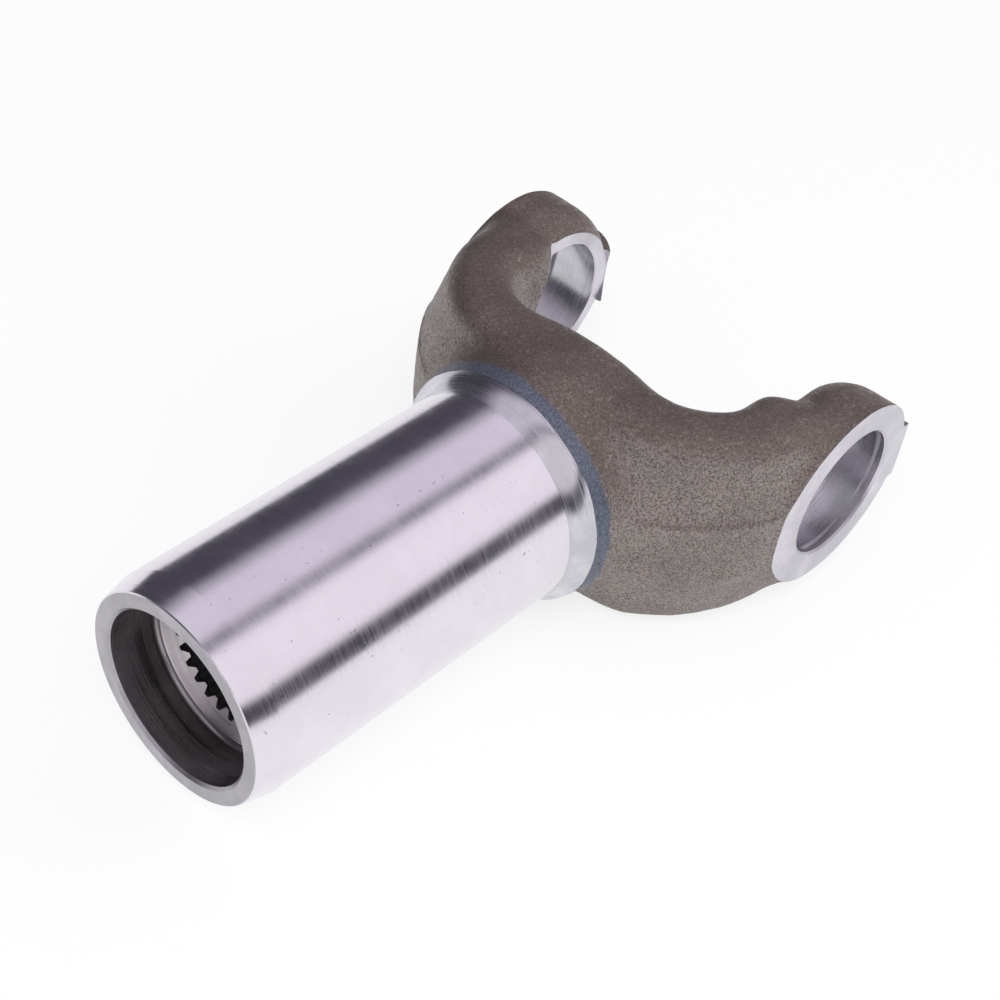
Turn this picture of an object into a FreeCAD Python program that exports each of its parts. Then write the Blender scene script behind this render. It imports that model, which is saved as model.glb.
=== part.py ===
import FreeCAD, Part
import math
import os
from typing import NamedTuple, Optional

import Sketcher
from FreeCAD import Vector

# A slip yoke: the forged end of a propeller shaft that slides on the gearbox's splined shaft and
# carries one universal joint.  It is one steel forging.  The arms, ears and hub keep their forged
# skin, with a parting band all round and draft above and below it; the barrel, collar, mouth,
# splines, cross bores, ring grooves and ear faces are machined.
#
# Frame, in millimetres: the origin is the joint's centre, where the barrel's axis meets the cross
# bore's axis.  +X runs along the barrel towards the ears, +Y along the cross bore, and +Z is
# square to the forging's parting plane.

NODE = "yoke"
SHEET = "sizes"

SIZES = {
    # the joint: two ears with one bore across them
    "cross_bore_diameter": 30.2,    # bearing caps are pressed in here
    "ear_face_span": 97.3,          # over the machined outer faces
    "ear_gap": 68.6,                # between the spot-faces inside
    "spot_face_diameter": 38.2,     # cutter that faces the insides
    "ring_span": 92.1,              # between the cap ends, where the rings bear
    "ring_groove_width": 1.4,
    "ring_groove_depth": 0.9,
    "bore_chamfer": 0.5,
    "ear_radius": 21.7,             # forged boss round each bore
    "ear_rim": 6.4,                 # full width of the boss, in from its outer face
    "ear_dome_radius": 11.5,        # rounding on each boss's inner edge
    # the forged arms, seen square to the parting plane
    "band_height": 15.0,            # upright band left round the parting line
    "band_step": 0.4,               # how far the trimmed band stands out of the walls
    "draft_angle": 16.0,            # lean of the forged walls beyond the band
    "plate_front": 50.8,            # joint centre to the front of the arms
    "front_width": 47.4,            # straight part of that front
    "front_corner_radius": 12.0,    # rounding between the front and the sweep
    "shoulder_radius": 42.7,        # sweep from the front out to an ear
    "shoulder_end": 22.7,           # joint centre to where the sweep meets the ear face
    "ear_reach": 22.5,              # joint centre to the ear's tip on the band
    "gap_depth": 24.4,              # joint centre to the floor of the gap
    "gap_width": 50.8,              # between the arms' inner walls, on the band
    "gap_corner_radius": 7.8,
    "arm_end": 2.6,                 # joint centre to where an arm's top runs out in the boss
    "arm_end_radius": 10.6,         # rounding of that end, seen from above
    "front_thickness": 54.4,        # over the top and bottom faces at the front
    "ridge_radius": 3.6,            # rounding along the arms' outer edges
    "lip_radius": 3.4,              # rounding along the gap's edges
    "boss_blend": 3.0,              # hollow between an arm and its boss
    # the turned shank
    "mouth_reach": 140.9,           # joint centre to the open end of the barrel
    "barrel_diameter": 47.0,        # ground, runs in the gearbox's seal
    "mouth_diameter": 44.4,
    "lead_length": 5.9,             # taper that leads the seal on
    "collar_diameter": 52.8,
    "collar_start": 60.0,           # joint centre to where the collar's fillet starts
    "collar_fillet": 6.0,
    "collar_end": 54.4,             # joint centre to where the turning stops
    "neck_diameter": 54.0,          # forged hub, at the front of the arms
    "hub_tail_diameter": 48.0,      # the hub's own width at the floor of the gap
    # the bore
    "seal_bore_diameter": 36.6,
    "seal_bore_depth": 11.2,
    "seal_bore_chamfer": 0.6,
    "seal_bore_corner": 1.0,
    "spline_count": 27,
    "spline_pitch_diameter": 28.575,
    "spline_major_diameter": 30.0,
    "spline_minor_diameter": 27.5,
    "spline_flank_angle": 30.0,
    "spline_lead_angle": 35.0,      # cone from the seal bore's floor down to the teeth
    "spline_length": 76.0,
    "relief_diameter": 31.0,        # clearance behind the teeth
    "plug_seat_diameter": 34.0,     # open recess where the bore meets the gap
    "plug_seat_depth": 5.0,         # from the floor of the gap
}


class Size:
    """A number together with the sheet formula that gives it."""

    def __init__(self, value, formula):
        self.value = float(value)
        self.formula = formula

    @staticmethod
    def of(other):
        return other if isinstance(other, Size) else Size(other, repr(float(other)))

    def join(self, other, sign, value):
        return Size(value, f"({self.formula} {sign} {Size.of(other).formula})")

    def __add__(self, other):
        return self.join(other, "+", self.value + Size.of(other).value)

    def __sub__(self, other):
        return self.join(other, "-", self.value - Size.of(other).value)

    def __mul__(self, other):
        return self.join(other, "*", self.value * Size.of(other).value)

    def __truediv__(self, other):
        return self.join(other, "/", self.value / Size.of(other).value)

    def __neg__(self):
        return Size(-self.value, f"(-{self.formula})")

    def root(self):
        return Size(math.sqrt(self.value), f"sqrt({self.formula})")

    def tangent(self):
        """The tangent of this size, taken as degrees."""
        return Size(math.tan(math.radians(self.value)), f"tan({self.formula} * 1 deg)")


ZERO = Size(0.0, "0")


def size(alias):
    return Size(SIZES[alias], f"{SHEET}.{alias}")


class Leg(NamedTuple):
    """One leg of an outline: the corner it starts at, and its radius if it is an arc."""
    u: Size
    v: Size
    radius: Optional[Size] = None
    centre_on_left: bool = True


def write_sheet(doc):
    sheet = doc.addObject("Spreadsheet::Sheet", SHEET)
    for row, (alias, value) in enumerate(SIZES.items(), start=1):
        sheet.set(f"A{row}", alias)
        sheet.set(f"B{row}", str(value))
        sheet.setAlias(f"B{row}", alias)
    doc.recompute()


def origin_part(body, role):
    return next(o for o in body.Origin.OriginFeatures if o.Role == role)


def arc_centre(start, end, radius, on_left):
    """Centre of the arc between two points, on the chosen side of the way from one to the other."""
    chord = end - start
    half = chord.Length / 2
    rise = math.sqrt(max(radius ** 2 - half ** 2, 0.0))
    side = Vector(-chord.y, chord.x, 0).normalize()
    return (start + end) / 2 + side * (rise if on_left else -rise)


def new_sketch(body, name, role, height=None):
    sketch = body.newObject("Sketcher::SketchObject", name)
    sketch.AttachmentSupport = (origin_part(body, role), "")
    sketch.MapMode = "FlatFace"
    if height is not None:
        sketch.setExpression("AttachmentOffset.Base.z", height.formula)
    return sketch


def pin_point(sketch, geometry, point, leg, tag):
    """Hold a corner at its place, with both of its distances tied to the sheet."""
    for kind, axis, place in (("DistanceX", -2, leg.u), ("DistanceY", -1, leg.v)):
        if place is ZERO:
            sketch.addConstraint(Sketcher.Constraint("PointOnObject", geometry, point, axis))
            continue
        held = Sketcher.Constraint(kind, -1, 1, geometry, point, place.value)
        index = sketch.addConstraint(held)
        sketch.renameConstraint(index, f"{tag}{kind[-1]}")
        sketch.setExpression(f"Constraints.{tag}{kind[-1]}", place.formula)


def draw_outline(sketch, legs):
    """Draw a closed outline of straight legs and arcs, every size bound to the sheet."""
    ends = []
    for index, leg in enumerate(legs):
        after = legs[(index + 1) % len(legs)]
        start = Vector(leg.u.value, leg.v.value, 0)
        end = Vector(after.u.value, after.v.value, 0)
        if leg.radius is None:
            geometry = sketch.addGeometry(Part.LineSegment(start, end), False)
            ends.append((geometry, 1, 2))
            continue
        centre = arc_centre(start, end, leg.radius.value, leg.centre_on_left)
        first, last = (start, end) if leg.centre_on_left else (end, start)
        turn = [math.atan2(p.y - centre.y, p.x - centre.x) for p in (first, last)]
        circle = Part.Circle(centre, Vector(0, 0, 1), leg.radius.value)
        geometry = sketch.addGeometry(Part.ArcOfCircle(circle, turn[0], turn[1]), False)
        ends.append((geometry, 1, 2) if leg.centre_on_left else (geometry, 2, 1))
        held = sketch.addConstraint(Sketcher.Constraint("Radius", geometry, leg.radius.value))
        sketch.renameConstraint(held, f"arc{index}")
        sketch.setExpression(f"Constraints.arc{index}", leg.radius.formula)
    for index, leg in enumerate(legs):
        geometry, first, _ = ends[index]
        before, _, last = ends[index - 1]
        sketch.addConstraint(Sketcher.Constraint("Coincident", before, last, geometry, first))
        pin_point(sketch, geometry, first, leg, f"corner{index}")
    return sketch


def extrude(body, kind, name, sketch, length, reversed_way=False, both_ways=False, taper=None):
    """Pad or Pocket a sketch over a length tied to the sheet."""
    feature = body.newObject(f"PartDesign::{kind}", name)
    feature.Profile = (sketch, [""])
    feature.setExpression("Length", length.formula)
    feature.SideType = "Symmetric" if both_ways else "One side"
    feature.Reversed = reversed_way
    if taper is not None:
        feature.setExpression("TaperAngle", taper.formula)
    return feature


def turn(body, kind, name, sketch, axis, angle=360.0):
    """Revolution or Groove of a sketch round one of the body's axes."""
    feature = body.newObject(f"PartDesign::{kind}", name)
    feature.Profile = (sketch, [""])
    feature.ReferenceAxis = (origin_part(body, axis), [""])
    feature.Angle = angle
    return feature


def mirror(body, name, plane):
    """Mirror the whole body made so far in one of its origin planes."""
    feature = body.newObject("PartDesign::Mirrored", name)
    feature.TransformMode = "Whole shape"
    feature.MirrorPlane = (origin_part(body, plane), [""])
    feature.Refine = True
    body.Tip = feature
    body.Document.recompute()
    return feature


def round_edges(body, name, base, edges, radius):
    feature = body.newObject("PartDesign::Fillet", name)
    feature.Base = (base, edges)
    feature.setExpression("Radius", radius.formula)
    return feature


def edges_where(shape, wanted):
    """Names of the edges whose middle point passes a test."""
    names = []
    for index, edge in enumerate(shape.Edges, start=1):
        middle = edge.valueAt((edge.FirstParameter + edge.LastParameter) / 2)
        if wanted(edge, middle):
            names.append(f"Edge{index}")
    return names


def outer_legs():
    """Half of the arms' front and sweep, as far as the ear's outer face."""
    front = -size("plate_front")
    return [
        Leg(front, ZERO),
        Leg(front, size("front_width") / 2, size("shoulder_radius"), False),
        Leg(-size("shoulder_end"), size("ear_face_span") / 2),
    ]


def gap_legs():
    """One corner of the gap between the arms and half of its floor."""
    corner = size("gap_corner_radius")
    wall = size("gap_width") / 2
    floor = -size("gap_depth")
    return [
        Leg(floor + corner, wall, corner, True),
        Leg(floor, wall - corner),
        Leg(floor, ZERO),
    ]


def boss_legs():
    """The side of an ear's boss, from its outer face in to the end of its dome."""
    face = size("ear_face_span") / 2
    rim = face - size("ear_rim")
    dome = size("ear_dome_radius")
    return face, rim, dome


def drafted_start():
    """Height where the drafted walls would start, so that the band stands out of them."""
    return size("band_height") / 2 - size("band_step") / size("draft_angle").tangent()


def forge_arm(body):
    """The drafted half of one arm above the parting plane, with the gap still solid."""
    face = size("ear_face_span") / 2
    crown = size("front_thickness") / 2
    start = drafted_start()
    outline = new_sketch(body, "arm_outline", "XY_Plane", start)
    end = -size("arm_end")
    draw_outline(outline, [*outer_legs(), Leg(end, face), Leg(end, ZERO)])
    arm = extrude(body, "Pad", "arm", outline, crown, taper=-size("draft_angle"))
    body.Document.recompute()

    half_front = size("front_width").value / 2
    level = (start + crown / 2).value

    def is_front_corner(edge, middle):
        near_side = abs(middle.y - half_front) < half_front / 8
        return near_side and abs(middle.z - level) < 1.0 and middle.x < -half_front

    corner = edges_where(arm.Shape, is_front_corner)
    return round_edges(body, "front_corner", arm, corner, size("front_corner_radius"))


def slope_top(body):
    """The top face, falling away evenly from the front of the arms to the crown of the ears."""
    ear = size("ear_radius")
    slope = (size("front_thickness") / 2 - ear) / size("plate_front")
    far = size("mouth_reach")
    near = far / 2
    side = new_sketch(body, "side_profile", "XZ_Plane")
    draw_outline(side, [
        Leg(-near, ear + slope * near),
        Leg(near, ear - slope * near),
        Leg(near, far),
        Leg(-near, far),
    ])
    top = extrude(body, "Pocket", "top_face", side, far * 2, both_ways=True)
    body.Document.recompute()

    def is_ridge(edge, middle):
        on_top = abs(middle.z - (ear - slope * middle.x).value) < 1e-3
        return on_top and middle.y > 1.0 and middle.x < -ear.value / 4

    ridge = edges_where(top.Shape, is_ridge)
    return round_edges(body, "ridge", top, ridge, size("ridge_radius"))


def forge_hub(body):
    """A quarter of the round hub that joins the arms to the shank."""
    neck = size("neck_diameter") / 2
    tail = -size("gap_depth")
    outline = new_sketch(body, "hub_outline", "XZ_Plane")
    draw_outline(outline, [
        Leg(-size("collar_end"), ZERO),
        Leg(-size("collar_end"), size("collar_diameter") / 2),
        Leg(-size("plate_front"), neck),
        Leg(tail, size("hub_tail_diameter") / 2),
        Leg(tail, ZERO),
    ])
    hub = turn(body, "Revolution", "hub", outline, "X_Axis", 90.0)
    hub.Reversed = True
    return hub


def cut_gap(body):
    """The drafted gap between the arms, with its lips rounded."""
    face = size("ear_face_span") / 2
    wall = size("gap_width") / 2
    end = -size("arm_end")
    turned = size("arm_end_radius")
    beyond = size("ear_radius")
    outline = new_sketch(body, "gap_outline", "XY_Plane", drafted_start())
    draw_outline(outline, [
        Leg(beyond, ZERO),
        Leg(beyond, face),
        Leg(end, face),
        Leg(end, wall + turned, turned, False),
        Leg(end - turned, wall),
        *gap_legs(),
    ])
    gap = extrude(body, "Pocket", "gap", outline, size("front_thickness") / 2,
                  reversed_way=True, taper=size("draft_angle"))
    body.Document.recompute()

    floor = size("gap_depth").value
    high = size("ear_radius").value
    lean = math.tan(math.radians(SIZES["draft_angle"])) * (high + 5.0)

    def is_lip(edge, middle):
        beside = middle.y < (wall + turned).value - 2.0
        behind = -floor - lean < middle.x < -turned.value / 3
        return edge.Length > 2.0 and beside and behind and middle.z > high - 2.0 and middle.y > 0.5

    return round_edges(body, "lip", gap, edges_where(gap.Shape, is_lip), size("lip_radius"))


def forge_boss(body):
    """The round boss of one ear, above the parting plane."""
    ear = size("ear_radius")
    face, rim, dome = boss_legs()
    outline = new_sketch(body, "boss_outline", "XY_Plane")
    draw_outline(outline, [
        Leg(ZERO, face),
        Leg(ear, face),
        Leg(ear, rim, dome, False),
        Leg(ear - dome, rim - dome),
        Leg(ZERO, rim - dome),
    ])
    boss = turn(body, "Revolution", "boss", outline, "Y_Axis", 180.0)
    boss.Reversed = True
    return boss


def add_band(body):
    """The upright band that the trimming die leaves all round the parting line."""
    reach = size("ear_reach")
    face, rim, dome = boss_legs()
    outline = new_sketch(body, "band_outline", "XY_Plane")
    draw_outline(outline, [
        *outer_legs(),
        Leg(reach, face),
        Leg(reach, rim, dome, False),
        Leg(reach - dome, rim - dome),
        Leg(reach - dome, size("gap_width") / 2),
        *gap_legs(),
    ])
    return extrude(body, "Pad", "band", outline, size("band_height") / 2)


def turn_shank(body):
    """The barrel with its lead-in taper, and the collar behind its fillet."""
    mouth = -size("mouth_reach")
    barrel = size("barrel_diameter") / 2
    collar = size("collar_diameter") / 2
    fillet = size("collar_fillet")
    start = -size("collar_start")
    rise = collar - barrel
    run = (fillet * rise * 2 - rise * rise).root()
    outline = new_sketch(body, "shank_outline", "XZ_Plane")
    draw_outline(outline, [
        Leg(mouth, ZERO),
        Leg(mouth, size("mouth_diameter") / 2),
        Leg(mouth + size("lead_length"), barrel),
        Leg(start, barrel, fillet, True),
        Leg(start + run, collar),
        Leg(-size("collar_end"), collar),
        Leg(-size("collar_end"), ZERO),
    ])
    return turn(body, "Revolution", "shank", outline, "X_Axis")


def bore_shank(body):
    """The bore: seal bore, lead-in cone, the teeth's tips, clearance and plug seat."""
    mouth = -size("mouth_reach")
    seal = size("seal_bore_diameter") / 2
    edge = size("seal_bore_chamfer")
    corner = size("seal_bore_corner")
    shoulder = mouth + size("seal_bore_depth")
    tip = size("spline_minor_diameter") / 2
    lead = (seal - corner - tip) * size("spline_lead_angle").tangent()
    relief = size("relief_diameter") / 2
    seat = size("plug_seat_diameter") / 2
    floor = -size("gap_depth")
    seat_floor = floor - size("plug_seat_depth")
    spline_end = shoulder + size("spline_length")
    outline = new_sketch(body, "bore_outline", "XZ_Plane")
    draw_outline(outline, [
        Leg(mouth, ZERO),
        Leg(mouth, seal + edge),
        Leg(mouth + edge, seal),
        Leg(shoulder - corner, seal, corner, False),
        Leg(shoulder, seal - corner),
        Leg(shoulder + lead, tip),
        Leg(spline_end, tip),
        Leg(spline_end, relief),
        Leg(seat_floor, relief),
        Leg(seat_floor, seat),
        Leg(floor + 1.0, seat),
        Leg(floor + 1.0, ZERO),
    ])
    return turn(body, "Groove", "bore", outline, "X_Axis")


def cut_splines(body):
    """One tooth space along the bore, repeated for every tooth."""
    tip = size("spline_minor_diameter") / 2
    root = size("spline_major_diameter") / 2
    pitch = size("spline_pitch_diameter") / 2
    count = size("spline_count")
    # On the pitch circle a space is half a tooth pitch wide, and it narrows outwards.
    half_space = pitch * math.pi / count / 2
    flank = size("spline_flank_angle").tangent()
    inner = tip - 1.0
    half_root = half_space - (root - pitch) * flank
    half_mouth = half_space + (pitch - inner) * flank
    shoulder = -size("mouth_reach") + size("seal_bore_depth")
    space = new_sketch(body, "space_outline", "YZ_Plane", shoulder)
    draw_outline(space, [
        Leg(-half_mouth, inner),
        Leg(half_mouth, inner),
        Leg(half_root, root),
        Leg(-half_root, root),
    ])
    cut = extrude(body, "Pocket", "tooth_space", space, size("spline_length"), reversed_way=True)
    pattern = body.newObject("PartDesign::PolarPattern", "splines")
    pattern.Originals = [cut]
    pattern.Axis = (origin_part(body, "X_Axis"), [""])
    pattern.Angle = 360.0
    pattern.setExpression("Occurrences", count.formula)
    body.Tip = pattern
    return pattern


def face_ears(body):
    """Machine the ears: flat outer faces, spot-faces inside, cross bore and ring grooves."""
    face = size("ear_face_span") / 2
    inside = size("ear_gap") / 2
    bore = size("cross_bore_diameter") / 2
    groove = size("ring_span") / 2
    deep = bore + size("ring_groove_depth")
    broken = size("bore_chamfer")
    outline = new_sketch(body, "cross_bore_outline", "XY_Plane")
    draw_outline(outline, [
        Leg(ZERO, ZERO),
        Leg(size("spot_face_diameter") / 2, ZERO),
        Leg(size("spot_face_diameter") / 2, inside),
        Leg(bore, inside),
        Leg(bore, groove),
        Leg(deep, groove),
        Leg(deep, groove + size("ring_groove_width")),
        Leg(bore, groove + size("ring_groove_width")),
        Leg(bore, face - broken),
        Leg(bore + broken * 2, face + broken),
        Leg(ZERO, face + broken),
    ])
    return turn(body, "Groove", "cross_bore", outline, "Y_Axis")


def check(doc):
    for thing in doc.Objects:
        if "Invalid" in thing.State or "Error" in thing.State:
            raise RuntimeError(f"{thing.Name} did not build")
        shape = getattr(thing, "Shape", None)
        if shape is not None and not thing.isDerivedFrom("App::OriginFeature"):
            if shape.isNull() or not shape.isValid():
                raise RuntimeError(f"{thing.Name} has no valid shape")


def main():
    doc = FreeCAD.newDocument("slip_yoke")
    write_sheet(doc)
    body = doc.addObject("PartDesign::Body", NODE)
    body.Label = NODE
    body.Placement = FreeCAD.Placement()

    forge_arm(body)
    slope_top(body)
    forge_hub(body)
    cut_gap(body)
    forge_boss(body)
    add_band(body)
    face_ears(body)
    mirror(body, "lower_half", "XY_Plane")
    mirror(body, "far_arm", "XZ_Plane")
    turn_shank(body)
    bore_shank(body)
    cut_splines(body)

    doc.recompute()
    check(doc)
    os.makedirs("parts", exist_ok=True)
    body.Shape.exportStep(f"parts/{NODE}.step")


main()
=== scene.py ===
"""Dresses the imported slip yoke: the forged fork and ears, the ground barrel and the splined bore."""
import logging
import math
from dataclasses import dataclass, field
from enum import Enum
from typing import Callable, Sequence

import bmesh
import bpy
import numpy as np
from mathutils import Matrix, Vector, noise


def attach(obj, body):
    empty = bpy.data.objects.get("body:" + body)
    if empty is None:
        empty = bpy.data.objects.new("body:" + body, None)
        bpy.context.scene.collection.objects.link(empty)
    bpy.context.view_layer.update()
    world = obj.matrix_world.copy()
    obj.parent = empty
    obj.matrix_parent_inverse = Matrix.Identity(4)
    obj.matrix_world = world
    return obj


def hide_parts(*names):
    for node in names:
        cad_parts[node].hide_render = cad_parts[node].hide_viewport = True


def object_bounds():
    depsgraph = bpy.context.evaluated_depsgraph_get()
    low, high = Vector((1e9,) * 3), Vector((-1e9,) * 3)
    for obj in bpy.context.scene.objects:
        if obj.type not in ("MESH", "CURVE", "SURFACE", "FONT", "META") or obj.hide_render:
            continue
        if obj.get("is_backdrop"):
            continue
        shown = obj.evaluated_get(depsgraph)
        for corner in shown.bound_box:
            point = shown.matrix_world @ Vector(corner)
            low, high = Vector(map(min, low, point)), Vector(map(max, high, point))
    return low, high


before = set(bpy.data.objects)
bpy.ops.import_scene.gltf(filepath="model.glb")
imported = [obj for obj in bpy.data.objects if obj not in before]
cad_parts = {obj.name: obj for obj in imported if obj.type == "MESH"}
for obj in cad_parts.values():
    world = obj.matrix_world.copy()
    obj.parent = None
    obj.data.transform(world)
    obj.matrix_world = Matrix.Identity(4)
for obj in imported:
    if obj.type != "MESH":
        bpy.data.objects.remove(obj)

Colour = tuple[float, float, float]

log = logging.getLogger("slip_yoke")
MM = 0.001
CAD_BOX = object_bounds()


class Axis(Enum):
    """The axis that a turned shape is turned about."""

    BARREL = "x"
    CROSS = "y"


class Finish(Enum):
    """The finishes of the yoke's surfaces, in the order of its material slots."""

    FORGED = 0
    MILLED = 1
    BORED = 2
    TURNED = 3
    GROUND = 4
    MOUTH = 5
    SEAL_BORE = 6
    LEAD_CONE = 7
    BROACHED = 8


# ---------------------------------------------------------------------------------------------
# Node helpers
# ---------------------------------------------------------------------------------------------


class Nodes:
    """A short way to write a material's node tree."""

    def __init__(self, tree: bpy.types.NodeTree) -> None:
        """Keeps the tree and empties it."""
        self.tree = tree
        tree.nodes.clear()

    def add(self, kind: str, **settings: object) -> bpy.types.Node:
        """Adds one node.

        Args:
            kind: the node's type name.
            settings: properties of the node, set by name.

        Returns:
            The new node.
        """
        node = self.tree.nodes.new(kind)
        for key, value in settings.items():
            setattr(node, key, value)
        return node

    def feed(self, socket: bpy.types.NodeSocket, value: object) -> None:
        """Links a socket to another's output, or sets its value."""
        if isinstance(value, bpy.types.NodeSocket):
            self.tree.links.new(value, socket)
        else:
            socket.default_value = value

    def math(self, operation: str, a: object, b: object = 0.0) -> bpy.types.NodeSocket:
        """Adds a Math node and returns its output."""
        node = self.add("ShaderNodeMath", operation=operation)
        self.feed(node.inputs[0], a)
        self.feed(node.inputs[1], b)
        return node.outputs[0]

    def ramp(self, value: object, stops: Sequence[tuple[float, Colour]]) -> bpy.types.NodeSocket:
        """Adds a colour ramp.

        Args:
            value: what drives the ramp.
            stops: positions and colours, lowest first.

        Returns:
            The ramp's colour output.
        """
        node = self.add("ShaderNodeValToRGB")
        marks = node.color_ramp.elements
        while len(marks) < len(stops):
            marks.new(0.5)
        for mark, (place, colour) in zip(marks, stops):
            mark.position = place
            mark.color = (*colour, 1.0)
        self.feed(node.inputs[0], value)
        return node.outputs[0]

    def span(self, value: object, low: float, high: float, out_low: float = 0.0,
             out_high: float = 1.0, smooth: bool = True) -> bpy.types.NodeSocket:
        """Maps a value from one range to another, clamped."""
        node = self.add("ShaderNodeMapRange", interpolation_type="SMOOTHSTEP" if smooth else "LINEAR")
        for socket, number in zip(node.inputs[:5], (value, low, high, out_low, out_high)):
            self.feed(socket, number)
        return node.outputs[0]

    def mix(self, share: object, a: object, b: object, blend: str = "MIX") -> bpy.types.NodeSocket:
        """Mixes two colours and returns the result."""
        node = self.add("ShaderNodeMix", data_type="RGBA", blend_type=blend)
        self.feed(node.inputs[0], share)
        self.feed(node.inputs[6], a if isinstance(a, bpy.types.NodeSocket) else (*a, 1.0))
        self.feed(node.inputs[7], b if isinstance(b, bpy.types.NodeSocket) else (*b, 1.0))
        return node.outputs[2]

    def noise(self, vector: object, scale: float, detail: float,
              rough: float) -> bpy.types.NodeSocket:
        """Adds a noise texture and returns its value."""
        node = self.add("ShaderNodeTexNoise")
        self.feed(node.inputs["Vector"], vector)
        self.feed(node.inputs["Scale"], scale)
        self.feed(node.inputs["Detail"], detail)
        self.feed(node.inputs["Roughness"], rough)
        return node.outputs[0]

    def stretched(self, vector: object, scale: Sequence[float]) -> bpy.types.NodeSocket:
        """Scales coordinates by a different amount along each axis."""
        node = self.add("ShaderNodeMapping")
        self.feed(node.inputs["Vector"], vector)
        self.feed(node.inputs["Scale"], scale)
        return node.outputs[0]

    def bump(self, height: object, strength: float, distance: float,
             normal: object = None) -> bpy.types.NodeSocket:
        """Adds a bump node, on top of another if one is given."""
        node = self.add("ShaderNodeBump")
        self.feed(node.inputs["Strength"], strength)
        self.feed(node.inputs["Distance"], distance)
        self.feed(node.inputs["Height"], height)
        if normal is not None:
            self.feed(node.inputs["Normal"], normal)
        return node.outputs[0]


def new_material(name: str) -> tuple[bpy.types.Material, Nodes, bpy.types.Node]:
    """Makes a material with one Principled shader.

    Args:
        name: the material's name.

    Returns:
        The material, its node helper and its shader.
    """
    material = bpy.data.materials.new(name)
    material.use_nodes = True
    nodes = Nodes(material.node_tree)
    shader = nodes.add("ShaderNodeBsdfPrincipled")
    output = nodes.add("ShaderNodeOutputMaterial")
    nodes.feed(output.inputs["Surface"], shader.outputs[0])
    return material, nodes, shader


# ---------------------------------------------------------------------------------------------
# Finishes
# ---------------------------------------------------------------------------------------------


@dataclass(frozen=True)
class BrightSteel:
    """Cut or ground steel: a metal whose fine marks run round an axis or across a face.

    Marks are how much the tool's rings change the roughness, pitch is how many there are to a
    millimetre, and stain is how far the duller patches fall off.
    """

    name: str
    colour: Colour
    roughness: float
    axis: Axis = Axis.BARREL
    marks: float = 0.15
    pitch: float = 9.0
    stain: float = 0.08
    spread: float = 22.0
    pock: float = 0.62

    def make(self) -> bpy.types.Material:
        """Builds the material and returns it."""
        material, nodes, shader = new_material(self.name)
        place = nodes.add("ShaderNodeTexCoord").outputs["Object"]
        fine, wide = self.pitch / MM, self.spread
        along = (fine, wide, wide) if self.axis is Axis.BARREL else (wide, fine, wide)
        rings = nodes.noise(nodes.stretched(place, along), 1.0, 3.0, 0.6)
        cloud = nodes.noise(place, 90.0, 4.0, 0.6)
        specks = nodes.noise(place, 900.0, 2.0, 0.5)
        dark = tuple(c * (1.0 - 3.0 * self.stain) for c in self.colour)
        tint = nodes.mix(nodes.span(cloud, 0.35, 0.7), dark, self.colour)
        pocked = tuple(c * self.pock for c in self.colour)
        spotted = nodes.mix(nodes.span(specks, 0.70, 0.76), tint, pocked)
        nodes.feed(shader.inputs["Base Color"], spotted)
        nodes.feed(shader.inputs["Metallic"], 1.0)
        grain = nodes.math("MULTIPLY", nodes.span(rings, 0.3, 0.7, -0.5, 0.5), self.marks)
        dull = nodes.span(cloud, 0.3, 0.7, 0.0, 0.05)
        rough = nodes.math("ADD", nodes.math("ADD", grain, dull), self.roughness)
        nodes.feed(shader.inputs["Roughness"], rough)
        nodes.feed(shader.inputs["Normal"], nodes.bump(rings, 0.22 * self.marks / 0.15, 0.00002))
        return material


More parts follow.
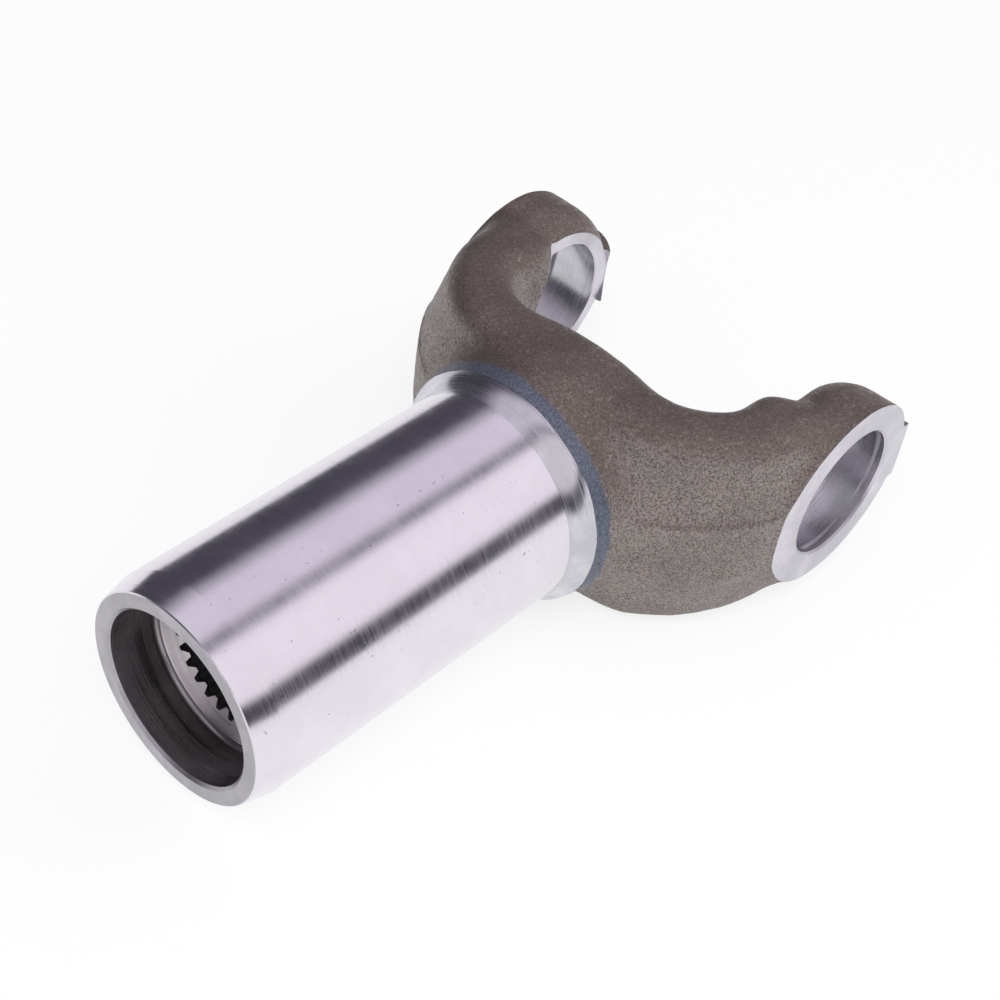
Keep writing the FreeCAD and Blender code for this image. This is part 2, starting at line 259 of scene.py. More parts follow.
@dataclass(frozen=True)
class ForgedSkin:
    """The brown scale of the forging, sand-blasted fine, with a steel-blue band by the collar, and
    painted light: its walls are a lighter grey than its top faces.
    """

    name: str = "forged_skin"
    scale_brown: Colour = (0.17, 0.138, 0.122)
    worn_brown: Colour = (0.38, 0.325, 0.29)
    # Painted light: the lighter grey given to walls that face sideways, standing in for the light that
    # falls on them.
    lit_wall_grey: Colour = (0.33, 0.295, 0.275)
    band_blue: Colour = (0.085, 0.095, 0.125)
    band_end: float = -0.0518
    band_fray: float = 0.0006

    def make(self) -> bpy.types.Material:
        """Builds the material and returns it."""
        material, nodes, shader = new_material(self.name)
        place = nodes.add("ShaderNodeTexCoord").outputs["Object"]
        split = nodes.add("ShaderNodeSeparateXYZ")
        nodes.feed(split.inputs[0], place)
        facing = nodes.add("ShaderNodeSeparateXYZ")
        nodes.feed(facing.inputs[0], nodes.add("ShaderNodeNewGeometry").outputs["Normal"])
        grit = nodes.noise(place, 2300.0, 3.0, 0.7)
        grain = nodes.noise(place, 900.0, 4.0, 0.65)
        patch = nodes.noise(place, 70.0, 5.0, 0.62)
        # Painted light: how level a face is picks its colour, so walls turned to the side are painted
        # lighter grey than the darker brown top faces.
        level = nodes.math("ABSOLUTE", facing.outputs[2])

        flat = nodes.mix(nodes.span(patch, 0.38, 0.66), self.scale_brown,
                         tuple(1.25 * c for c in self.scale_brown))
        side = nodes.mix(nodes.span(patch, 0.35, 0.7), self.lit_wall_grey,
                         tuple(0.78 * c for c in self.lit_wall_grey))
        skin = nodes.mix(nodes.span(level, 0.25, 0.8), side, flat)
        worn = nodes.math("MULTIPLY", nodes.span(grain, 0.52, 0.70), 0.55)
        flecks = nodes.mix(worn, skin, self.worn_brown)
        pores = tuple(0.6 * c for c in self.scale_brown)
        speckle = nodes.mix(nodes.span(grit, 0.34, 0.60), pores, flecks)

        fray = nodes.noise(place, 160.0, 4.0, 0.6)
        ragged = nodes.math("ADD", split.outputs[0],
                            nodes.span(fray, 0.3, 0.7, -self.band_fray, self.band_fray, False))
        edge = nodes.span(ragged, self.band_end + 0.0004, self.band_end - 0.0003)
        band = nodes.math("MULTIPLY", edge,
                          nodes.span(grain, 0.2, 0.5, 0.75, 1.0))
        pale_blue = tuple(2.2 * c for c in self.band_blue)
        blue = nodes.mix(nodes.span(grit, 0.35, 0.7), self.band_blue, pale_blue)
        colour = nodes.mix(band, speckle, blue)
        nodes.feed(shader.inputs["Base Color"], colour)
        nodes.feed(shader.inputs["Metallic"], 0.6)
        nodes.feed(shader.inputs["Roughness"], nodes.span(grain, 0.3, 0.75, 0.58, 0.36))
        coarse = nodes.bump(patch, 0.5, 0.0004)
        middle = nodes.bump(grain, 0.55, 0.00016, coarse)
        nodes.feed(shader.inputs["Normal"], nodes.bump(grit, 0.45, 0.00007, middle))
        return material


@dataclass(frozen=True)
class StudioFloor:
    """A pale plain floor that reads as white from the camera and still takes a shadow."""

    name: str = "studio_floor"
    colour: Colour = (0.93, 0.93, 0.935)
    lift: float = 0.80

    def make(self) -> bpy.types.Material:
        """Builds the material and returns it."""
        material = bpy.data.materials.new(self.name)
        material.use_nodes = True
        nodes = Nodes(material.node_tree)
        paint = nodes.add("ShaderNodeBsdfDiffuse")
        nodes.feed(paint.inputs["Color"], (*self.colour, 1.0))
        glow = nodes.add("ShaderNodeEmission")
        nodes.feed(glow.inputs["Color"], (1.0, 1.0, 1.0, 1.0))
        path = nodes.add("ShaderNodeLightPath")
        seen = nodes.math("MAXIMUM", path.outputs["Is Camera Ray"], path.outputs["Is Glossy Ray"])
        both = nodes.add("ShaderNodeMixShader")
        nodes.feed(both.inputs[0], nodes.math("MULTIPLY", seen, self.lift))
        nodes.feed(both.inputs[1], paint.outputs[0])
        nodes.feed(both.inputs[2], glow.outputs[0])
        output = nodes.add("ShaderNodeOutputMaterial")
        nodes.feed(output.inputs["Surface"], both.outputs[0])
        return material


def make_finishes() -> list[bpy.types.Material]:
    """Builds every finish of the yoke, in slot order."""
    steel = (0.80, 0.77, 0.83)
    makers = {
        Finish.FORGED: ForgedSkin(),
        Finish.MILLED: BrightSteel("milled_ear_face", (0.74, 0.72, 0.78), 0.38, Axis.CROSS, 0.2, 5.0),
        Finish.BORED: BrightSteel("bored_ear", (0.66, 0.65, 0.69), 0.24, Axis.CROSS, 0.2, 7.0),
        Finish.TURNED: BrightSteel("turned_collar", (0.72, 0.71, 0.76), 0.2, Axis.BARREL, 0.18, 6.0),
        Finish.GROUND: BrightSteel("ground_barrel", steel, 0.16, Axis.BARREL, 0.10, 9.0, 0.02),
        Finish.MOUTH: BrightSteel("mouth_face", (0.50, 0.49, 0.52), 0.36, Axis.CROSS, 0.15, 7.0),
        Finish.SEAL_BORE: BrightSteel("seal_bore", (0.36, 0.34, 0.35), 0.34, Axis.BARREL, 0.3, 3.0),
        Finish.LEAD_CONE: BrightSteel("lead_cone", (0.62, 0.58, 0.60), 0.33, Axis.BARREL, 0.2, 4.0),
        Finish.BROACHED: BrightSteel("broached_teeth", (0.42, 0.40, 0.41), 0.35,
                                     Axis.BARREL, 0.2, 4.0),
    }
    return [makers[finish].make() for finish in Finish]


# ---------------------------------------------------------------------------------------------
# Turned shapes
# ---------------------------------------------------------------------------------------------


@dataclass
class Turned:
    """A closed shape turned about the barrel's or the cross bore's axis, sizes in millimetres.

    The profile is a list of (place along the axis, radius, finish of the surface that follows).
    """

    name: str
    axis: Axis
    profile: list[tuple[float, float, Finish]]
    steps: int = 192

    def build(self, finishes: list[bpy.types.Material]) -> bpy.types.Object:
        """Turns the profile into a closed mesh.

        Args:
            finishes: the materials, in slot order.

        Returns:
            The new object.
        """
        mesh = bmesh.new()
        rings: list[list[bmesh.types.BMVert]] = []
        for along, radius, _ in self.profile:
            count = 1 if radius < 1e-6 else self.steps
            ring = []
            for step in range(count):
                turn = 2.0 * math.pi * step / self.steps
                a, b = radius * math.cos(turn), radius * math.sin(turn)
                spot = (along, a, b) if self.axis is Axis.BARREL else (b, along, a)
                ring.append(mesh.verts.new(Vector(spot) * MM))
            rings.append(ring)
        for index, (_, _, finish) in enumerate(self.profile):
            first, second = rings[index], rings[(index + 1) % len(rings)]
            if len(first) == 1 and len(second) == 1:
                continue
            for step in range(self.steps):
                after = (step + 1) % self.steps
                corners = [first[step % len(first)], second[step % len(second)],
                           second[after % len(second)], first[after % len(first)]]
                corners = list(dict.fromkeys(corners))
                face = mesh.faces.new(corners)
                face.material_index = finish.value
                face.smooth = True
        bmesh.ops.recalc_face_normals(mesh, faces=mesh.faces)
        return as_object(self.name, mesh, finishes)


def as_object(name: str, mesh: bmesh.types.BMesh,
              finishes: list[bpy.types.Material]) -> bpy.types.Object:
    """Turns a bmesh into a linked object with every finish in its slots."""
    data = bpy.data.meshes.new(name)
    mesh.to_mesh(data)
    mesh.free()
    for material in finishes:
        data.materials.append(material)
    obj = bpy.data.objects.new(name, data)
    bpy.context.collection.objects.link(obj)
    return obj


def arc(centre: tuple[float, float], radius: float, start: float, end: float, count: int,
        finish: Finish) -> list[tuple[float, float, Finish]]:
    """Points along an arc of a profile, angles in degrees from the axis direction."""
    points = []
    for step in range(count + 1):
        angle = math.radians(start + (end - start) * step / count)
        along = centre[0] + radius * math.cos(angle)
        points.append((along, centre[1] + radius * math.sin(angle), finish))
    return points


def set_creases(obj: bpy.types.Object, degrees: float) -> None:
    """Shades a mesh smooth, with sharp edges where it turns by more than an angle."""
    obj.data.shade_smooth()
    obj.data.set_sharp_from_angle(angle=math.radians(degrees))


# ---------------------------------------------------------------------------------------------
# The forging
# ---------------------------------------------------------------------------------------------

Field3 = Callable[[np.ndarray, np.ndarray, np.ndarray], np.ndarray]


def quadrant(a: np.ndarray, b: np.ndarray, radius: float) -> np.ndarray:
    """Depth inside the corner where a and b are both negative, rounded to a radius."""
    p, q = a + radius, b + radius
    outside = np.sqrt(np.maximum(p, 0.0) ** 2 + np.maximum(q, 0.0) ** 2)
    return radius - outside - np.minimum(np.maximum(p, q), 0.0)


def blend_min(a: np.ndarray, b: np.ndarray, width: float) -> np.ndarray:
    """The lesser of two depths, with the edge between them rounded."""
    h = np.maximum(width - np.abs(a - b), 0.0) / width
    return np.minimum(a, b) - h * h * width / 4.0


def blend_max(a: np.ndarray, b: np.ndarray, width: float) -> np.ndarray:
    """The greater of two depths, with the hollow between them filled."""
    return -blend_min(-a, -b, width)


@dataclass
class Forging:
    """The forged fork before it is machined, sizes in millimetres."""

    plate_front: float = 50.8
    sweep_centre: tuple[float, float] = (-11.3, 7.5)
    sweep_radius: float = 42.7
    ear_face: float = 48.65
    gap_depth: float = 24.4
    gap_wall: float = 25.4
    gap_corner: float = 7.8
    arm_end: float = 2.6
    arm_end_radius: float = 10.6
    ear_radius: float = 21.7
    ear_rim: float = 6.4
    ear_dome: float = 11.5
    ear_reach: float = 22.5
    half_band: float = 7.5
    band_step: float = 0.4
    draft: float = 16.0
    front_height: float = 27.2
    neck_radius: float = 27.0
    collar_radius: float = 26.4
    collar_end: float = 54.4
    hub_tail: float = 24.0
    ridge: float = 5.0
    lip: float = 4.5
    hollow: float = 5.0
    spacing: float = 0.72
    front_hidden: float = 62.0
    stock: float = 1.5
    front_round: float = 3.5
    band_round: float = 0.5
    least_collar: float = 25.6
    arm_overrun: float = 12.0
    outside: float = -8.0

    def depth(self, x: np.ndarray, y: np.ndarray, z: np.ndarray) -> np.ndarray:
        """Depth below the forging's surface, positive inside, about in millimetres."""
        side = np.abs(y)
        high = np.abs(z)
        cx, cy = self.sweep_centre
        sweep = self.sweep_radius - np.hypot(np.minimum(x - cx, 0.0), np.maximum(side - cy, 0.0))
        front = blend_min(x + self.plate_front, sweep, self.front_round)
        outer = np.minimum(front, self.ear_face + self.stock - side)
        gap = -quadrant(-self.gap_depth - x, side - self.gap_wall, self.gap_corner)
        tip = quadrant(x + self.arm_end, -gap, self.arm_end_radius)

        tan = math.tan(math.radians(self.draft))
        cos = math.cos(math.radians(self.draft))
        lean = self.band_step + np.maximum(high - self.half_band, 0.0) * tan
        slope = (self.front_height - self.ear_radius) / self.plate_front
        top = self.ear_radius - slope * x - high
        wall_out = (outer - lean) * cos
        wall_in = (np.minimum(gap, tip) - lean) * cos
        arm = blend_min(blend_min(wall_out, top, self.ridge), wall_in, self.lip)
        arm = np.where(x > -self.arm_end + self.arm_overrun, self.outside, arm)

        radius = np.hypot(y, z)
        run = (x + self.plate_front) / (self.plate_front - self.gap_depth)
        hub = self.neck_radius + (self.hub_tail - self.neck_radius) * run
        early = (x + self.collar_end) / (self.collar_end - self.plate_front)
        collar = self.collar_radius + (self.neck_radius - self.collar_radius) * early
        hub = np.where(run < 0, np.maximum(collar, self.least_collar), hub)
        hub_depth = blend_min(hub - radius, (gap - lean) * cos, self.lip)
        hub_depth = np.minimum(hub_depth, x + self.front_hidden)

        rim = self.ear_face - self.ear_rim
        boss = quadrant(np.hypot(x, z) - self.ear_radius, rim - self.ear_dome - side, self.ear_dome)
        boss = np.minimum(boss, self.ear_face + self.stock - side)

        solid = blend_max(blend_max(arm, hub_depth, self.hollow), boss, self.hollow)

        reach = quadrant(x - self.ear_reach, rim - self.ear_dome - side, self.ear_dome)
        reach = np.maximum(reach, self.ear_reach - self.ear_dome - x)
        plan = np.minimum(np.minimum(outer, gap), reach)
        band = blend_min(plan, self.half_band - high, self.band_round)
        return np.maximum(solid, band)

    def mesh(self, name: str, finishes: list[bpy.types.Material]) -> bpy.types.Object:
        """Meshes the forging as a closed skin of even quads and roughens it."""
        low = np.array([-self.front_hidden - 2.0, -self.ear_face - 3.0, -self.front_height - 2.0])
        high = np.array([self.ear_reach + 2.0, self.ear_face + 3.0, self.front_height + 2.0])
        points, quads = skin(self.depth, low, high, self.spacing)
        for _ in range(3):
            points = pull_to_skin(self.depth, points)
        points = self.roughen(points)
        data = bpy.data.meshes.new(name)
        data.from_pydata((points * MM).tolist(), [], quads.tolist())
        for material in finishes:
            data.materials.append(material)
        data.update()
        obj = bpy.data.objects.new(name, data)
        bpy.context.collection.objects.link(obj)
        return obj

    def roughen(self, points: np.ndarray) -> np.ndarray:
        """Moves the skin in and out as scale and die wear leave it."""
        normals = slope_of(self.depth, points)
        moved = points.copy()
        for index, point in enumerate(points):
            spot = Vector(point)
            wave = noise.noise(spot / 9.0) * 0.16
            dent = noise.noise(spot / 2.6 + Vector((7.0, 3.0, 1.0))) * 0.07
            grit = noise.noise(spot / 1.1 + Vector((1.0, 9.0, 4.0))) * 0.03
            moved[index] = point - normals[index] * (wave + dent + grit - 0.12)
        limit = self.neck_radius - 0.02
        moved[:, 2] = np.clip(moved[:, 2], -limit, limit)
        moved[:, 0] = np.minimum(moved[:, 0], self.ear_reach)
        return moved


def slope_of(depth: Field3, points: np.ndarray) -> np.ndarray:
    """Unit direction into the solid at each point."""
    step = 0.05
    x, y, z = points.T
    grad = np.stack([
        depth(x + step, y, z) - depth(x - step, y, z),
        depth(x, y + step, z) - depth(x, y - step, z),
        depth(x, y, z + step) - depth(x, y, z - step),
    ], axis=1)
    return grad / np.maximum(np.linalg.norm(grad, axis=1, keepdims=True), 1e-9)


def pull_to_skin(depth: Field3, points: np.ndarray) -> np.ndarray:
    """Moves points a little way towards the surface, along the depth's slope."""
    inward = slope_of(depth, points)
    away = depth(*points.T)
    return points - inward * np.clip(away, -0.3, 0.3)[:, None]


def skin(depth: Field3, low: np.ndarray, high: np.ndarray,
         spacing: float) -> tuple[np.ndarray, np.ndarray]:
    """Meshes the surface where a depth is nought, with one point in each cell that it crosses.

    Args:
        depth: the depth inside the solid.
        low: lowest corner of the box to mesh.
        high: highest corner of that box.
        spacing: the cells' size.

    Returns:
        The points, and the quads as rows of four point numbers.
    """
    counts = np.ceil((high - low) / spacing).astype(int) + 1
    axes = [low[i] + spacing * np.arange(counts[i]) for i in range(3)]
    grid = np.meshgrid(*axes, indexing="ij")
    value = depth(*grid)
    inside = value > 0.0
    corners = [(i, j, k) for i in (0, 1) for j in (0, 1) for k in (0, 1)]

    def shifted(array: np.ndarray, corner: tuple[int, int, int]) -> np.ndarray:
        """The array seen from one corner of every cell."""
        i, j, k = corner
        nx, ny, nz = array.shape
        return array[i:nx - 1 + i, j:ny - 1 + j, k:nz - 1 + k]

    filled = sum(shifted(inside, corner).astype(np.int8) for corner in corners)
    mixed = (filled > 0) & (filled < 8)
    number = -np.ones(mixed.shape, dtype=np.int64)
    number[mixed] = np.arange(mixed.sum())
    total = np.zeros((int(mixed.sum()), 3))
    hits = np.zeros(int(mixed.sum()))
    for corner in corners:
        for axis in range(3):
            if corner[axis]:
                continue
            other = list(corner)
            other[axis] = 1
            a = shifted(value, corner)[mixed]
            b = shifted(value, tuple(other))[mixed]
            crossed = (a > 0) != (b > 0)
            share = np.where(crossed, a / np.where(crossed, a - b, 1.0), 0.0)
            spot = np.tile(np.array(corner, float), (len(a), 1))
            spot[:, axis] += share
            total[crossed] += spot[crossed]
            hits += crossed
    base = np.argwhere(mixed)
    points = low + spacing * (base + total / hits[:, None])

    quads = []
    for axis in range(3):
        u, v = [i for i in range(3) if i != axis]
        if axis == 1:
            u, v = v, u
        near = [slice(1, -1)] * 3
        far = [slice(1, -1)] * 3
        near[axis] = slice(0, -1)
        far[axis] = slice(1, None)
        a, b = inside[tuple(near)], inside[tuple(far)]
        spots = np.argwhere(a != b)
        leaving = a[tuple(spots.T)]
        spots = spots + 1
        spots[:, axis] -= 1
        ring = []
        for du, dv in ((-1, -1), (0, -1), (0, 0), (-1, 0)):
            cell = spots.copy()
            cell[:, u] += du
            cell[:, v] += dv
            ring.append(number[tuple(cell.T)])
        ring = np.stack(ring, axis=1)
        ring[~leaving] = ring[~leaving][:, ::-1]
        quads.append(ring)
    return points, np.concatenate(quads)


@dataclass
class Fork:
    """The forged fork, machined: faced, spot-faced and bored at the ears, turned at the collar."""

    forging: Forging = field(default_factory=Forging)
    bore: float = 15.1
    groove: float = 16.0
    groove_inner: float = 46.05
    groove_width: float = 1.4
    spot_face: float = 19.1
    spot_plane: float = 34.3
    chamfer: float = 0.5
    fillet: float = 6.0
    collar_start: float = 60.0
    barrel: float = 23.5
    plug_seat: float = 17.0
    seat_floor: float = 29.4
    relief: float = 15.5

    def cross_tool(self) -> Turned:
        """The cutter that spot-faces and bores both ears and cuts their ring grooves."""
        face = self.forging.ear_face
        half = [
            (0.0, self.spot_face, Finish.MILLED),
            (self.spot_plane, self.spot_face, Finish.MILLED),
            (self.spot_plane, self.bore + 0.3, Finish.BORED),
            (self.spot_plane + 0.3, self.bore, Finish.BORED),
            (self.groove_inner, self.bore, Finish.BORED),
            (self.groove_inner, self.groove, Finish.BORED),
            (self.groove_inner + self.groove_width, self.groove, Finish.BORED),
            (self.groove_inner + self.groove_width, self.bore, Finish.BORED),
            (face - self.chamfer, self.bore, Finish.MILLED),
            (face + 4.0, self.bore + self.chamfer + 4.0, Finish.MILLED),
            (face + 4.0, 0.0, Finish.MILLED),
        ]
        other = [(-along, radius, finish) for along, radius, finish in reversed(half[1:])]
        return Turned("cross_tool", Axis.CROSS, [*other, *half[1:]])

    def collar_tool(self) -> Turned:
        """The ring that the turning takes off the forging, down to the collar's fillet."""
        start = -self.collar_start
        centre = (start, self.barrel + self.fillet)
        curve = arc(centre, self.fillet, -90.0, 0.0, 28, Finish.TURNED)
        return Turned("collar_tool", Axis.BARREL, [
            (-75.0, 40.0, Finish.TURNED),
            (-75.0, self.barrel - 0.3, Finish.TURNED),
            (start - 0.05, self.barrel - 0.3, Finish.TURNED),
            *curve,
            (start + self.fillet, 40.0, Finish.TURNED),
        ], 256)

    def shank_tool(self) -> Turned:
        """The bore through the hub: clearance behind the teeth and the plug's seat."""
        return Turned("shank_tool", Axis.BARREL, [
            (-70.0, 0.0, Finish.BORED),
            (-70.0, self.relief + 1.0, Finish.BORED),
            (-56.0, self.relief + 1.0, Finish.BORED),
            (-56.0, self.relief, Finish.BORED),
            (-self.seat_floor, self.relief, Finish.BORED),
            (-self.seat_floor, self.plug_seat, Finish.BORED),
            (-15.0, self.plug_seat, Finish.BORED),
            (-15.0, 0.0, Finish.BORED),
        ])

    def facing_tool(self, side: int, finishes: list[bpy.types.Material]) -> bpy.types.Object:
        """The block of stock that facing takes off one ear."""
        mesh = bmesh.new()
        near, far = self.forging.ear_face, self.forging.ear_face + 8.0
        mid = Vector((0.0, side * (near + far) / 2, 0.0)) * MM
        bmesh.ops.create_cube(mesh, size=1.0, matrix=Matrix.Translation(mid)
                              @ Matrix.Diagonal((0.09, (far - near) * MM, 0.09, 1.0)))
        for face in mesh.faces:
            face.material_index = Finish.MILLED.value
        return as_object("facing_tool", mesh, finishes)

    def build(self, finishes: list[bpy.types.Material]) -> bpy.types.Object:
        """Makes the forging, then cuts it with each tool in turn."""
        fork = self.forging.mesh("forged_fork", finishes)
        tools = [
            self.facing_tool(1, finishes),
            self.facing_tool(-1, finishes),
            self.cross_tool().build(finishes),
            self.collar_tool().build(finishes),
            self.shank_tool().build(finishes),
        ]
        for tool in tools:
            cut(fork, tool)
        set_creases(fork, 32.0)
        return fork


def cut(obj: bpy.types.Object, tool: bpy.types.Object) -> None:
    """Cuts a tool's shape out of an object and removes the tool."""
    modifier = obj.modifiers.new("cut", "BOOLEAN")
    modifier.operation = "DIFFERENCE"
    modifier.solver = "EXACT"
    modifier.object = tool
    apply_modifiers(obj)
    bpy.data.objects.remove(tool)


def apply_modifiers(obj: bpy.types.Object) -> None:
    """Bakes an object's modifiers into its mesh."""
    graph = bpy.context.evaluated_depsgraph_get()
    graph.update()
    baked = bpy.data.meshes.new_from_object(obj.evaluated_get(graph), depsgraph=graph)
    old = obj.data
    obj.modifiers.clear()
    obj.data = baked
    bpy.data.meshes.remove(old)


# ---------------------------------------------------------------------------------------------
# The shank and its splines
# ---------------------------------------------------------------------------------------------


@dataclass
class Shank:
    """The ground barrel with its lead-in, mouth and seal bore, sizes in millimetres."""

    mouth: float = 140.9
    mouth_radius: float = 22.2
    lead: float = 5.9
    barrel: float = 23.5
    seal_bore: float = 18.3
    seal_depth: float = 11.2
    chamfer: float = 0.6
    corner: float = 1.0
    back: float = 57.0
    hidden: float = 16.0

    def build(self, finishes: list[bpy.types.Material]) -> bpy.types.Object:
        """Turns the barrel as one closed ring."""
        mouth = -self.mouth
        shoulder = mouth + self.seal_depth
        bore = self.seal_bore
        centre = (shoulder - self.corner, bore - self.corner)
        corner = arc(centre, self.corner, 90.0, 0.0, 6, Finish.SEAL_BORE)
        profile = [
            (mouth, bore + self.chamfer, Finish.MOUTH),
            (mouth, self.mouth_radius - 0.25, Finish.GROUND),
            (mouth + 0.18, self.mouth_radius, Finish.GROUND),
            (mouth + self.lead, self.barrel - 0.01, Finish.GROUND),
            (mouth + self.lead + 0.1, self.barrel, Finish.GROUND),
            (-self.back, self.barrel, Finish.BORED),
            (-self.back, self.hidden, Finish.BORED),
            (shoulder + 1.6, self.hidden, Finish.BORED),
            *reversed(corner),
            (mouth + self.chamfer, bore, Finish.MOUTH),
        ]
        shank = Turned("ground_shank", Axis.BARREL, profile, 256).build(finishes)
        set_creases(shank, 20.0)
        return shank


@dataclass
class Splines:
    """The ring of spline teeth inside the barrel, sizes in millimetres."""

    teeth: int = 27
    tip: float = 13.76
    root: float = 15.0
    front: float = 129.7
    front_radius: float = 17.3
    lead_angle: float = 35.0
    back: float = 53.7
    wall: float = 16.1

    def build(self, finishes: list[bpy.types.Material]) -> bpy.types.Object:
        """Makes the toothed ring with a node tree and bakes it to a mesh."""
        tree = self.tree(finishes[Finish.BROACHED.value])
        base = bpy.data.meshes.new("spline_ring")
        obj = bpy.data.objects.new("spline_ring", base)
        bpy.context.collection.objects.link(obj)
        modifier = obj.modifiers.new("teeth", "NODES")
        modifier.node_group = tree
        sizes = {
            "Teeth": self.teeth,
            "Tip": self.tip * MM,
            "Root": self.root * MM,
            "Front": -self.front * MM,
            "Front radius": self.front_radius * MM,
            "Back": -self.back * MM,
            "Wall": self.wall * MM,
            "Lead": math.tan(math.radians(self.lead_angle)),
        }
        for item in tree.interface.items_tree:
            if item.item_type == "SOCKET" and item.in_out == "INPUT" and item.name in sizes:
                modifier[item.identifier] = sizes[item.name]
        obj.update_tag()
        apply_modifiers(obj)
        mesh = bmesh.new()
        mesh.from_mesh(obj.data)
        bmesh.ops.remove_doubles(mesh, verts=mesh.verts, dist=1e-6)
        bmesh.ops.recalc_face_normals(mesh, faces=mesh.faces)
        mesh.to_mesh(obj.data)
        mesh.free()
        obj.data.materials.clear()
        for material in finishes:
            obj.data.materials.append(material)
        cone = -(self.front - 3.2) * MM
        for face in obj.data.polygons:
            near = face.center.x < cone
            face.material_index = (Finish.LEAD_CONE if near else Finish.BROACHED).value
        set_creases(obj, 25.0)
        return obj

    def tree(self, finish: bpy.types.Material) -> bpy.types.NodeTree:
        """Builds the node tree: a grid rolled into a ring whose inner rows follow the teeth."""
        tree = bpy.data.node_groups.new("spline_ring", "GeometryNodeTree")
        face = tree.interface
        face.new_socket("Teeth", in_out="INPUT", socket_type="NodeSocketInt")
        for name in ("Tip", "Root", "Front", "Front radius", "Back", "Wall", "Lead"):
            face.new_socket(name, in_out="INPUT", socket_type="NodeSocketFloat")
        face.new_socket("Geometry", in_out="OUTPUT", socket_type="NodeSocketGeometry")
        nodes = Nodes(tree)
        given = nodes.add("NodeGroupInput").outputs
        samples = 16
        around = nodes.math("MULTIPLY", given["Teeth"], float(samples))
        grid = nodes.add("GeometryNodeMeshGrid")
        nodes.feed(grid.inputs["Size X"], 1.0)
        nodes.feed(grid.inputs["Size Y"], 1.0)
        nodes.feed(grid.inputs["Vertices X"], nodes.math("ADD", around, 1.0))
        nodes.feed(grid.inputs["Vertices Y"], 5)
        spot = nodes.add("ShaderNodeSeparateXYZ")
        nodes.feed(spot.inputs[0], nodes.add("GeometryNodeInputPosition").outputs[0])
        turn = nodes.math("ADD", spot.outputs[0], 0.5)
        row = nodes.math("MULTIPLY", nodes.math("ADD", spot.outputs[1], 0.5), 4.0)
        passed = nodes.math("MULTIPLY", turn, given["Teeth"])
        phase = nodes.math("FRACT", nodes.math("ADD", passed, 0.0005))
        swing = nodes.math("ABSOLUTE", nodes.math("SUBTRACT", phase, 0.5))
        lift = nodes.span(swing, 0.13, 0.37, 0.0, 1.0, False)
        reach = nodes.math("SUBTRACT", given["Root"], given["Tip"])
        tooth = nodes.math("ADD", given["Tip"], nodes.math("MULTIPLY", lift, reach))
        drop = nodes.math("SUBTRACT", given["Front radius"], tooth)
        cone = nodes.math("ADD", given["Front"], nodes.math("MULTIPLY", drop, given["Lead"]))

        def choose(values: Sequence[object]) -> bpy.types.NodeSocket:
            """Picks a value by the grid's row."""
            result = values[0]
            for index, value in enumerate(values[1:], start=1):
                later = nodes.math("GREATER_THAN", row, index - 0.5)
                gain = nodes.math("MULTIPLY", later, nodes.math("SUBTRACT", value, result))
                result = nodes.math("ADD", result, gain)
            return result

        back_front = nodes.math("ADD", given["Front"], 0.003)
        radius = choose([given["Front radius"], tooth, tooth, given["Wall"], given["Wall"]])
        along = choose([given["Front"], cone, given["Back"], given["Back"], back_front])
        angle = nodes.math("MULTIPLY", turn, 2.0 * math.pi)
        place = nodes.add("ShaderNodeCombineXYZ")
        nodes.feed(place.inputs[0], along)
        nodes.feed(place.inputs[1], nodes.math("MULTIPLY", radius, nodes.math("COSINE", angle)))
        nodes.feed(place.inputs[2], nodes.math("MULTIPLY", radius, nodes.math("SINE", angle)))
        moved = nodes.add("GeometryNodeSetPosition")
        nodes.feed(moved.inputs["Geometry"], grid.outputs["Mesh"])
        nodes.feed(moved.inputs["Position"], place.outputs[0])
        closed = nodes.add("GeometryNodeMergeByDistance")
        nodes.feed(closed.inputs["Geometry"], moved.outputs[0])
        nodes.feed(closed.inputs["Distance"], 1e-6)
        real = nodes.add("GeometryNodeRealizeInstances")
        nodes.feed(real.inputs[0], closed.outputs[0])
        paint = nodes.add("GeometryNodeSetMaterial")
        nodes.feed(paint.inputs["Geometry"], real.outputs[0])
        paint.inputs["Material"].default_value = finish
        out = nodes.add("NodeGroupOutput")
        nodes.feed(out.inputs[0], paint.outputs[0])
        return tree


# ---------------------------------------------------------------------------------------------
# The studio
# ---------------------------------------------------------------------------------------------


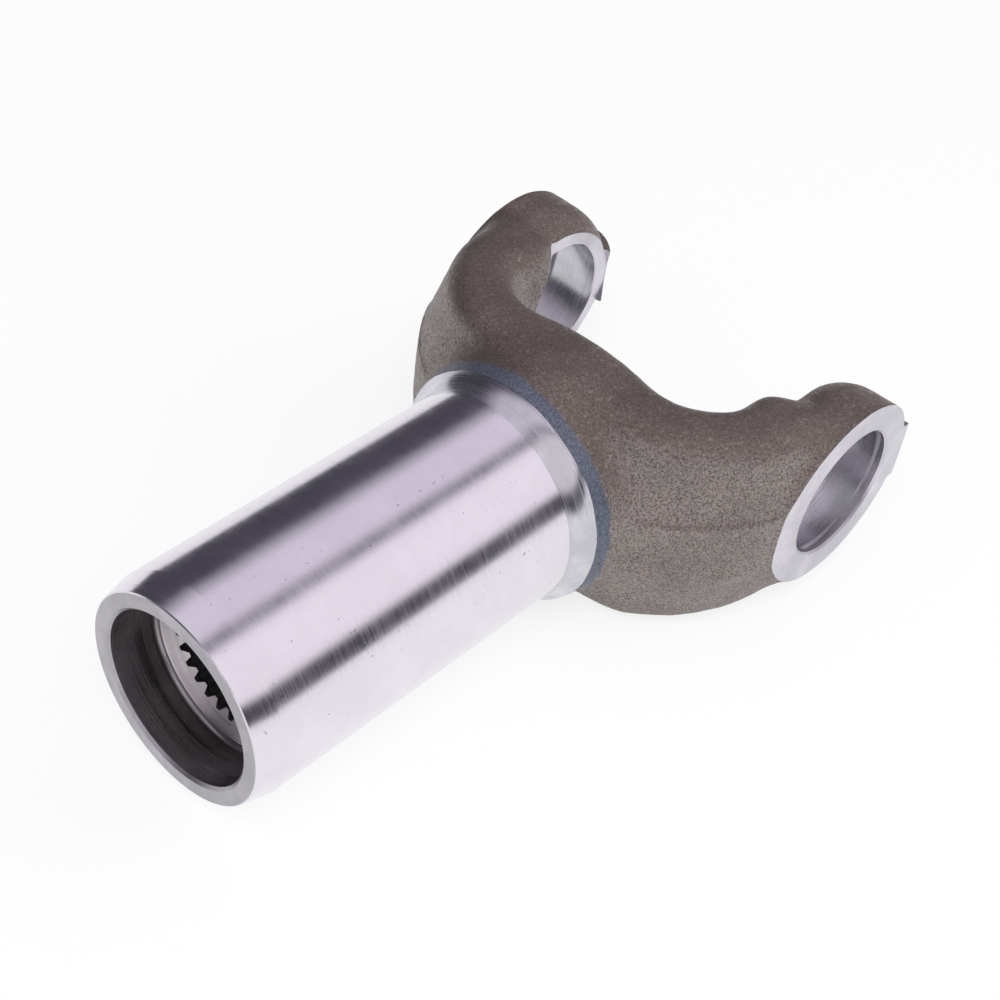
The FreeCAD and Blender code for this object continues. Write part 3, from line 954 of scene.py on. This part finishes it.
@dataclass
class Studio:
    """Camera, floor, world and lamps."""

    lens: float = 66.876
    eye: tuple[float, float, float] = (-0.27939, -0.16791, 0.25913)
    right: tuple[float, float, float] = (0.67629412, -0.7275868, 0.11508129)
    down: tuple[float, float, float] = (-0.44728257, -0.52973294, -0.72063952)
    ahead: tuple[float, float, float] = (0.58529015, 0.43589042, -0.68369217)
    floor_size: float = 6.0

    def camera(self) -> None:
        """Makes the camera that the object is seen with."""
        data = bpy.data.cameras.new("camera")
        data.lens = self.lens
        data.sensor_width = 36.0
        data.clip_start, data.clip_end = 0.01, 20.0
        eye = bpy.data.objects.new("camera", data)
        bpy.context.collection.objects.link(eye)
        turn = Matrix((Vector(self.right), -Vector(self.down), -Vector(self.ahead))).transposed()
        eye.matrix_world = Matrix.Translation(Vector(self.eye)) @ turn.to_4x4()
        bpy.context.scene.camera = eye

    def floor(self, level: float) -> None:
        """Lays the floor under the object."""
        mesh = bmesh.new()
        bmesh.ops.create_grid(mesh, x_segments=1, y_segments=1, size=self.floor_size / 2)
        bmesh.ops.translate(mesh, verts=mesh.verts, vec=(0.0, 0.0, level))
        floor = as_object("studio_floor", mesh, [StudioFloor().make()])
        floor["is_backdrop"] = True

    def world(self) -> None:
        """Lights the scene from a tent with two long strips overhead and dark gaps at its sides."""
        world = bpy.data.worlds.new("studio")
        bpy.context.scene.world = world
        world.use_nodes = True
        nodes = Nodes(world.node_tree)
        way = nodes.add("ShaderNodeSeparateXYZ")
        nodes.feed(way.inputs[0], nodes.add("ShaderNodeTexCoord").outputs["Generated"])
        across = nodes.math("MULTIPLY", way.outputs[1], -1.0)
        angle = nodes.math("ARCTAN2", way.outputs[2], across)
        turn = nodes.math("DIVIDE", nodes.math("ADD", angle, math.pi), 2.0 * math.pi)
        light, gap = (1.0, 0.95, 1.0), (0.28, 0.26, 0.30)
        second, dark = (0.78, 0.73, 0.82), (0.07, 0.066, 0.085)
        floor = (0.85, 0.84, 0.88)
        stops = [
            (0.0, dark), (0.44, floor), (0.487, (0.35, 0.34, 0.38)), (0.515, dark), (0.545, dark),
            (0.565, light), (0.69, light), (0.715, gap), (0.725, gap), (0.75, second),
            (0.83, second), (0.885, dark), (1.0, dark),
        ]
        tent = nodes.ramp(turn, stops)
        glow = nodes.add("ShaderNodeBackground")
        nodes.feed(glow.inputs["Color"], tent)
        nodes.feed(glow.inputs["Strength"], 1.0)
        white = nodes.add("ShaderNodeBackground")
        nodes.feed(white.inputs["Color"], (1.0, 1.0, 1.0, 1.0))
        both = nodes.add("ShaderNodeMixShader")
        nodes.feed(both.inputs[0], nodes.add("ShaderNodeLightPath").outputs["Is Camera Ray"])
        nodes.feed(both.inputs[1], glow.outputs[0])
        nodes.feed(both.inputs[2], white.outputs[0])
        out = nodes.add("ShaderNodeOutputWorld")
        nodes.feed(out.inputs["Surface"], both.outputs[0])

    def lamp(self, name: str, place: tuple[float, float, float], aim: tuple[float, float, float],
             size: float, power: float) -> None:
        """Hangs one soft lamp that doesn't show in reflections."""
        data = bpy.data.lights.new(name, "AREA")
        data.shape = "DISK"
        data.size = size
        data.energy = power
        lamp = bpy.data.objects.new(name, data)
        bpy.context.collection.objects.link(lamp)
        lamp.location = place
        lamp.rotation_mode = "QUATERNION"
        lamp.rotation_quaternion = (Vector(aim) - Vector(place)).to_track_quat("-Z", "Y")
        lamp.visible_glossy = False
        lamp.visible_camera = False

    def build(self, level: float) -> None:
        """Sets up the whole studio."""
        scene = bpy.context.scene
        scene.view_settings.view_transform = "Standard"
        self.camera()
        self.floor(level)
        self.world()
        self.lamp("key", (-0.5, -0.3, 0.75), (-0.05, 0.0, 0.0), 0.5, 4.0)
        self.lamp("fill", (0.5, -0.6, 0.4), (-0.05, 0.0, 0.0), 0.6, 2.0)


def main() -> None:
    """Builds the studio and the yoke's pieces, and says where each rides."""
    logging.basicConfig(level=logging.INFO, format="%(name)s: %(message)s")
    low, _ = CAD_BOX
    Studio().build(low.z)
    finishes = make_finishes()
    fork = Fork().build(finishes)
    shank = Shank().build(finishes)
    teeth = Splines().build(finishes)
    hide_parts("yoke")
    for piece in (fork, shank, teeth):
        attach(piece, "root")
        log.info("%s: %d faces", piece.name, len(piece.data.polygons))
    low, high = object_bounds()


if __name__ == "__main__":
    main()
